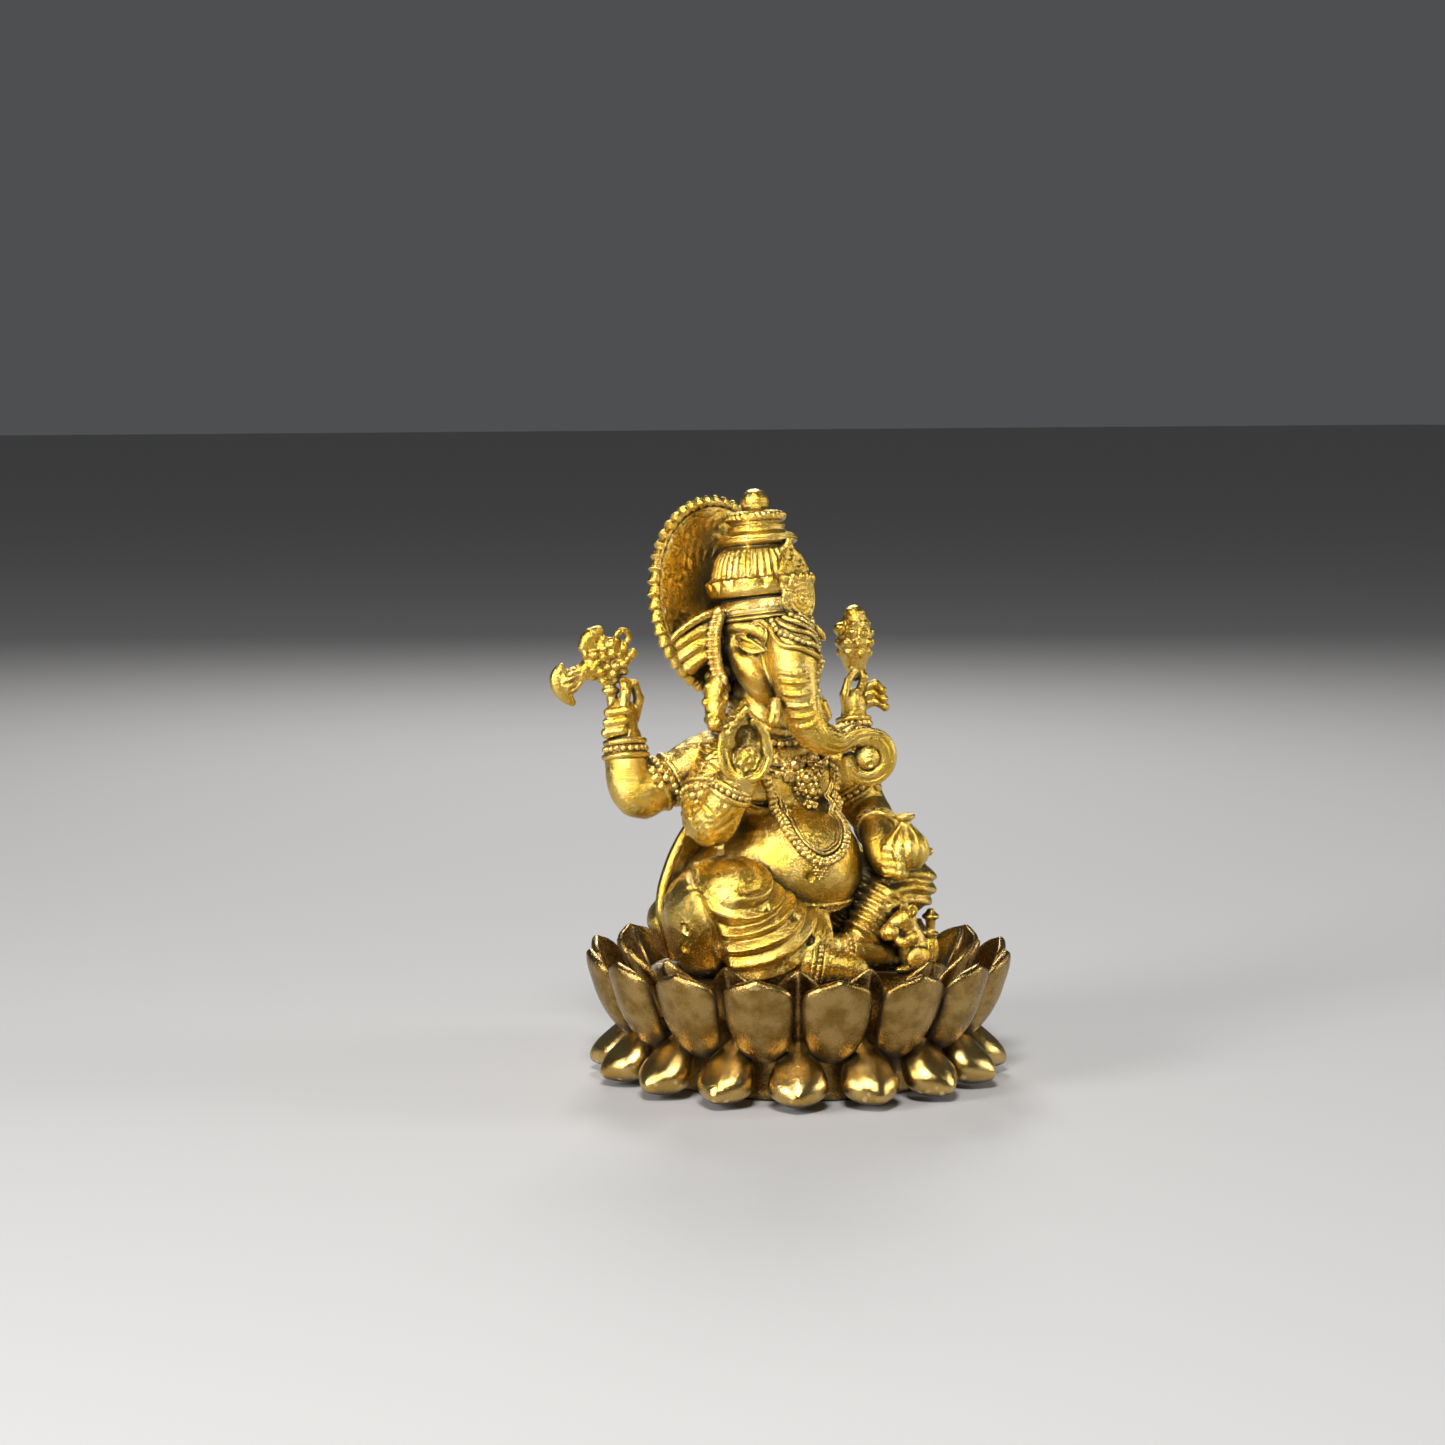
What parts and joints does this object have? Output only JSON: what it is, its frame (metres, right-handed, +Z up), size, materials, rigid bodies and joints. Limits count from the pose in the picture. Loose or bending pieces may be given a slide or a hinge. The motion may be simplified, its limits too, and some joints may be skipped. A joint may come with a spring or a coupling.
{
  "type": "ganesha idol",
  "caption": "Seated elephant-headed deity with a tall crown, halo and hand-held emblems on a petalled lotus pedestal, cast in brass.",
  "frame": {"origin": "middle of the lotus pedestal's flat underside", "axes": "+Z up through the crown, the deity faces -Y, its left hand side is +X"},
  "size_m": [0.0289, 0.0282, 0.0392],
  "materials": {
    "figure_brass": "polished on the high spots, dark patina in the hollows",
    "lotus_bronze": "satin antique finish with bright worn rims"
  },
  "bodies": {
    "root": {"lotus_core": "lotus_bronze", "seed_pod": "lotus_bronze", "lower_petals": "lotus_bronze", "outer_petals": "lotus_bronze", "inner_petals": "lotus_bronze", "hips": "figure_brass", "torso": "figure_brass", "right_leg": "figure_brass", "right_foot": "figure_brass", "left_leg": "figure_brass", "left_foot": "figure_brass", "back_right_arm": "figure_brass", "back_right_hand": "figure_brass", "back_left_arm": "figure_brass", "back_left_hand": "figure_brass", "front_right_arm": "figure_brass", "front_right_hand": "figure_brass", "front_left_arm": "figure_brass", "front_left_hand": "figure_brass", "axe": "figure_brass", "lotus_bud": "figure_brass", "sweet_pot": "figure_brass", "head": "figure_brass", "trunk": "figure_brass", "trunk_sweet": "figure_brass", "right_tusk": "figure_brass", "left_tusk": "figure_brass", "right_ear": "figure_brass", "left_ear": "figure_brass", "crown": "figure_brass", "crown_finial": "figure_brass", "crown_plaque": "figure_brass", "diadem": "figure_brass", "brow_chains": "figure_brass", "temple_tassels": "figure_brass", "halo": "figure_brass", "halo_rope": "figure_brass", "hair_locks": "figure_brass", "collar": "figure_brass", "pendant": "figure_brass", "garland": "figure_brass", "armlets": "figure_brass", "bangles": "figure_brass", "anklets": "figure_brass", "belt": "figure_brass", "front_pleats": "figure_brass", "navel_jewel": "figure_brass", "shawl": "figure_brass", "side_tassel": "figure_brass", "mouse": "figure_brass", "mouse_sweet": "figure_brass"}
  },
  "joints": []
}
